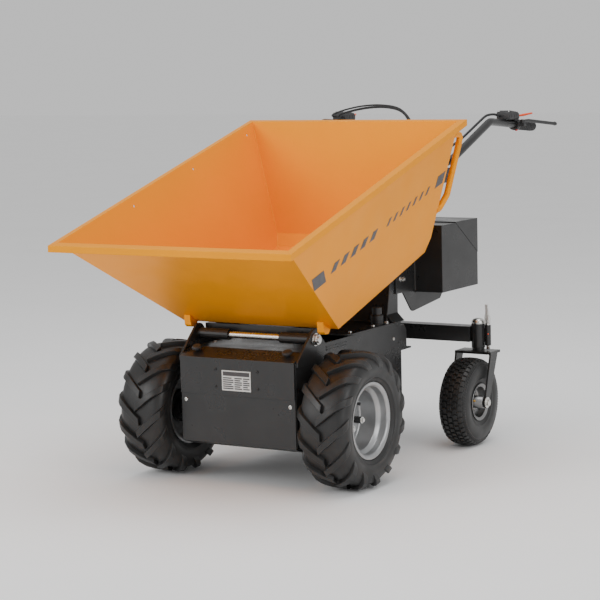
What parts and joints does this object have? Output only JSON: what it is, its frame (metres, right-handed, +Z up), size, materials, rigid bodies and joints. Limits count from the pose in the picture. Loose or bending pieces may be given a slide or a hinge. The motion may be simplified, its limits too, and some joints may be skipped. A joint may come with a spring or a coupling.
{
  "type": "power wheelbarrow",
  "caption": "Electric power wheelbarrow with a front-tipping tub on a chassis box, driven lugged wheels, swivel casters behind and a handlebar with controls.",
  "frame": {"origin": "middle of the footprint box, on the floor", "axes": "+X the machine's left, +Y to the handlebar at its rear, +Z up; metres"},
  "size_m": [0.8156, 1.8084, 1.0881],
  "materials": {
    "orange_paint": "glossy powder coat",
    "black_paint": "fine textured powder coat",
    "zinc": "zinc plated",
    "silver_paint": "silver paint",
    "tyre_rubber": "moulded black tyre",
    "grip_rubber": "matte rubber",
    "black_plastic": "matte moulded plastic",
    "orange_plastic": "glossy moulded plastic",
    "red_plastic": "glossy moulded plastic",
    "label": "satin plate",
    "cast_metal": "as cast",
    "battery_case": "matte moulded plastic"
  },
  "bodies": {
    "chassis": {"battery_box": "black_paint", "battery_left": "battery_case", "battery_right": "battery_case", "box_gusset_left": "black_paint", "box_gusset_right": "black_paint", "brake_cable_right": "grip_rubber", "chassis_tray": "black_paint", "console": "black_plastic", "control_cable_left": "grip_rubber", "control_cable_right": "grip_rubber", "control_unit_left": "black_plastic", "control_unit_right": "black_plastic", "front_cover_lower": "black_paint", "front_cover_upper": "black_paint", "front_deck": "black_paint", "gearbox_housing": "cast_metal", "grip_left": "grip_rubber", "grip_right": "grip_rubber", "handlebar": "black_paint", "handlebar_post_left": "black_paint", "handlebar_post_right": "black_paint", "motor_and_brake": "cast_metal", "motor_controller": "cast_metal", "pivot_shaft": "zinc", "rear_deck": "black_paint", "rear_frame": "black_paint", "side_plate_left": "black_paint", "side_plate_right": "black_paint", "tub_rest_left": "grip_rubber", "tub_rest_right": "grip_rubber", "type_plate": "label"},
    "tub": {"tub": "orange_paint", "tilt_frame": "black_paint", "grab_tube_left": "orange_paint", "grab_tube_right": "orange_paint"},
    "battery_lid": {"battery_lid": "black_paint"},
    "emergency_stop": {"emergency_stop": "red_plastic"},
    "console_knob": {"console_knob": "black_plastic"},
    "drive_wheel_left": {"drive_tyre_left": "tyre_rubber", "drive_rim_left": "silver_paint", "drive_hub_left": "black_paint"},
    "caster_fork_left": {"caster_fork_left": "black_paint", "caster_axle_left": "zinc"},
    "caster_wheel_left": {"caster_tyre_left": "tyre_rubber", "caster_rim_left": "zinc"},
    "lock_pin_left": {"lock_pin_left": "zinc"},
    "brake_lever_left": {"brake_lever_left": "black_plastic"},
    "thumb_lever_left": {"thumb_lever_left": "orange_plastic"},
    "cover_knob_left": {"cover_knob_left": "black_plastic"},
    "drive_wheel_right": {"drive_tyre_right": "tyre_rubber", "drive_rim_right": "silver_paint", "drive_hub_right": "black_paint"},
    "caster_fork_right": {"caster_fork_right": "black_paint", "caster_axle_right": "zinc"},
    "caster_wheel_right": {"caster_tyre_right": "tyre_rubber", "caster_rim_right": "zinc"},
    "lock_pin_right": {"lock_pin_right": "zinc"},
    "brake_lever_right": {"brake_lever_right": "black_plastic"},
    "thumb_lever_right": {"thumb_lever_right": "orange_plastic"},
    "cover_knob_right": {"cover_knob_right": "black_plastic"}
  },
  "joints": [
    {"name": "tub_tip", "type": "hinge", "parent": "chassis", "child": "tub", "pos_m": [0, -0.451, 0.434], "axis": [1, 0, 0], "range_deg": [0, 65]},
    {"name": "battery_lid_hinge", "type": "hinge", "parent": "chassis", "child": "battery_lid", "pos_m": [0, 0.318, 0.7147], "axis": [1, 0, 0], "range_deg": [0, 75]},
    {"name": "emergency_stop_push", "type": "slide", "parent": "chassis", "child": "emergency_stop", "axis": [0, -1, 0], "range_m": [0, 0.004], "stiffness_N_per_m": 2000},
    {"name": "console_knob_turn", "type": "hinge", "parent": "chassis", "child": "console_knob", "pos_m": [0.268, 0.2893, 0.868], "axis": [0, 1, 0], "range_deg": [0, 90]},
    {"name": "drive_wheel_left_spin", "type": "hinge", "parent": "chassis", "child": "drive_wheel_left", "pos_m": [0.314, -0.433, 0.203], "axis": [1, 0, 0], "continuous": true},
    {"name": "caster_left_swivel", "type": "hinge", "parent": "chassis", "child": "caster_fork_left", "pos_m": [0.3325, 0.367, 0.35], "axis": [0, 0, 1], "continuous": true},
    {"name": "caster_wheel_left_spin", "type": "hinge", "parent": "caster_fork_left", "child": "caster_wheel_left", "pos_m": [0.3325, 0.292, 0.141], "axis": [1, 0, 0], "continuous": true},
    {"name": "lock_pin_left_lift", "type": "slide", "parent": "chassis", "child": "lock_pin_left", "axis": [0, 0, 1], "range_m": [0, 0.012]},
    {"name": "brake_lever_left_pull", "type": "hinge", "parent": "chassis", "child": "brake_lever_left", "pos_m": [0.342, 0.703, 1.02], "axis": [0, 0, 1], "range_deg": [0, 9], "stiffness_Nm_per_rad": 2},
    {"name": "thumb_lever_left_press", "type": "hinge", "parent": "chassis", "child": "thumb_lever_left", "pos_m": [0.313, 0.681, 1.0372], "axis": [0, 1, 0], "range_deg": [0, 20], "stiffness_Nm_per_rad": 0.5},
    {"name": "cover_knob_left_turn", "type": "hinge", "parent": "chassis", "child": "cover_knob_left", "pos_m": [0.157, -0.5255, 0.3932], "axis": [0, -0.3616, 0.9323], "continuous": true},
    {"name": "drive_wheel_right_spin", "type": "hinge", "parent": "chassis", "child": "drive_wheel_right", "pos_m": [-0.314, -0.433, 0.203], "axis": [1, 0, 0], "continuous": true},
    {"name": "caster_right_swivel", "type": "hinge", "parent": "chassis", "child": "caster_fork_right", "pos_m": [-0.3325, 0.367, 0.35], "axis": [0, 0, 1], "continuous": true},
    {"name": "caster_wheel_right_spin", "type": "hinge", "parent": "caster_fork_right", "child": "caster_wheel_right", "pos_m": [-0.3325, 0.292, 0.141], "axis": [1, 0, 0], "continuous": true},
    {"name": "lock_pin_right_lift", "type": "slide", "parent": "chassis", "child": "lock_pin_right", "axis": [0, 0, 1], "range_m": [0, 0.012]},
    {"name": "brake_lever_right_pull", "type": "hinge", "parent": "chassis", "child": "brake_lever_right", "pos_m": [-0.342, 0.703, 1.02], "axis": [0, 0, -1], "range_deg": [0, 9], "stiffness_Nm_per_rad": 2},
    {"name": "thumb_lever_right_press", "type": "hinge", "parent": "chassis", "child": "thumb_lever_right", "pos_m": [-0.313, 0.681, 1.0372], "axis": [0, -1, 0], "range_deg": [0, 20], "stiffness_Nm_per_rad": 0.5},
    {"name": "cover_knob_right_turn", "type": "hinge", "parent": "chassis", "child": "cover_knob_right", "pos_m": [-0.157, -0.5255, 0.3932], "axis": [0, -0.3616, 0.9323], "continuous": true}
  ]
}
